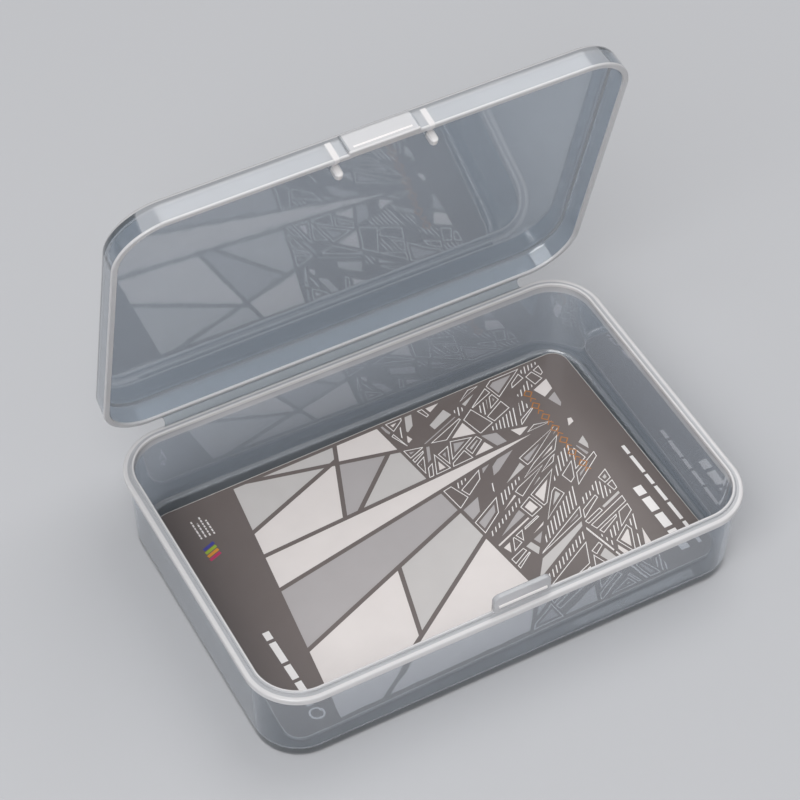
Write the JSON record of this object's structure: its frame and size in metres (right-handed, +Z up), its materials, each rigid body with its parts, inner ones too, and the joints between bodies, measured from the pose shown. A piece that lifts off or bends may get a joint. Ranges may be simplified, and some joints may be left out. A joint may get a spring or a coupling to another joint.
{
  "type": "card deck box",
  "caption": "Translucent snap-shut box with rounded corners for cards: deep tray, shallow lid on a living hinge, front catch, and a printed plastic card inside.",
  "frame": {"origin": "on the table, under the middle of the tray's flat bottom", "axes": "+Z up; +X along the hinge, to the right seen from the front; the catch faces -Y and the hinge is at the back, at +Y"},
  "size_m": [0.095, 0.0699, 0.083],
  "materials": {
    "translucent_polypropylene": "smooth moulded, milky translucent",
    "hinge_film": "thin smooth film, nearly clear",
    "printed_card": "printed plastic, satin"
  },
  "bodies": {
    "tray": {"tray": "translucent_polypropylene"},
    "lid": {"lid": "translucent_polypropylene"},
    "hinge_film": {"hinge_film": "hinge_film"},
    "card": {"card": "printed_card"}
  },
  "joints": [
    {"name": "lid_hinge", "type": "hinge", "parent": "tray", "child": "lid", "pos_m": [0, 0.03313, 0.01825], "axis": [-1, 0, 0], "range_deg": [-76.5, 103.5]},
    {"name": "film_bend", "type": "hinge", "parent": "tray", "child": "hinge_film", "pos_m": [0, 0.03313, 0.01825], "axis": [-1, 0, 0], "range_deg": [-38.25, 51.75]},
    {"name": "card_lift", "type": "slide", "parent": "tray", "child": "card", "axis": [0, 0, 1], "range_m": [0, 0.025]}
  ],
  "couplings": [
    {"joint": "film_bend", "follows": "lid_hinge", "ratio": 0.5}
  ]
}
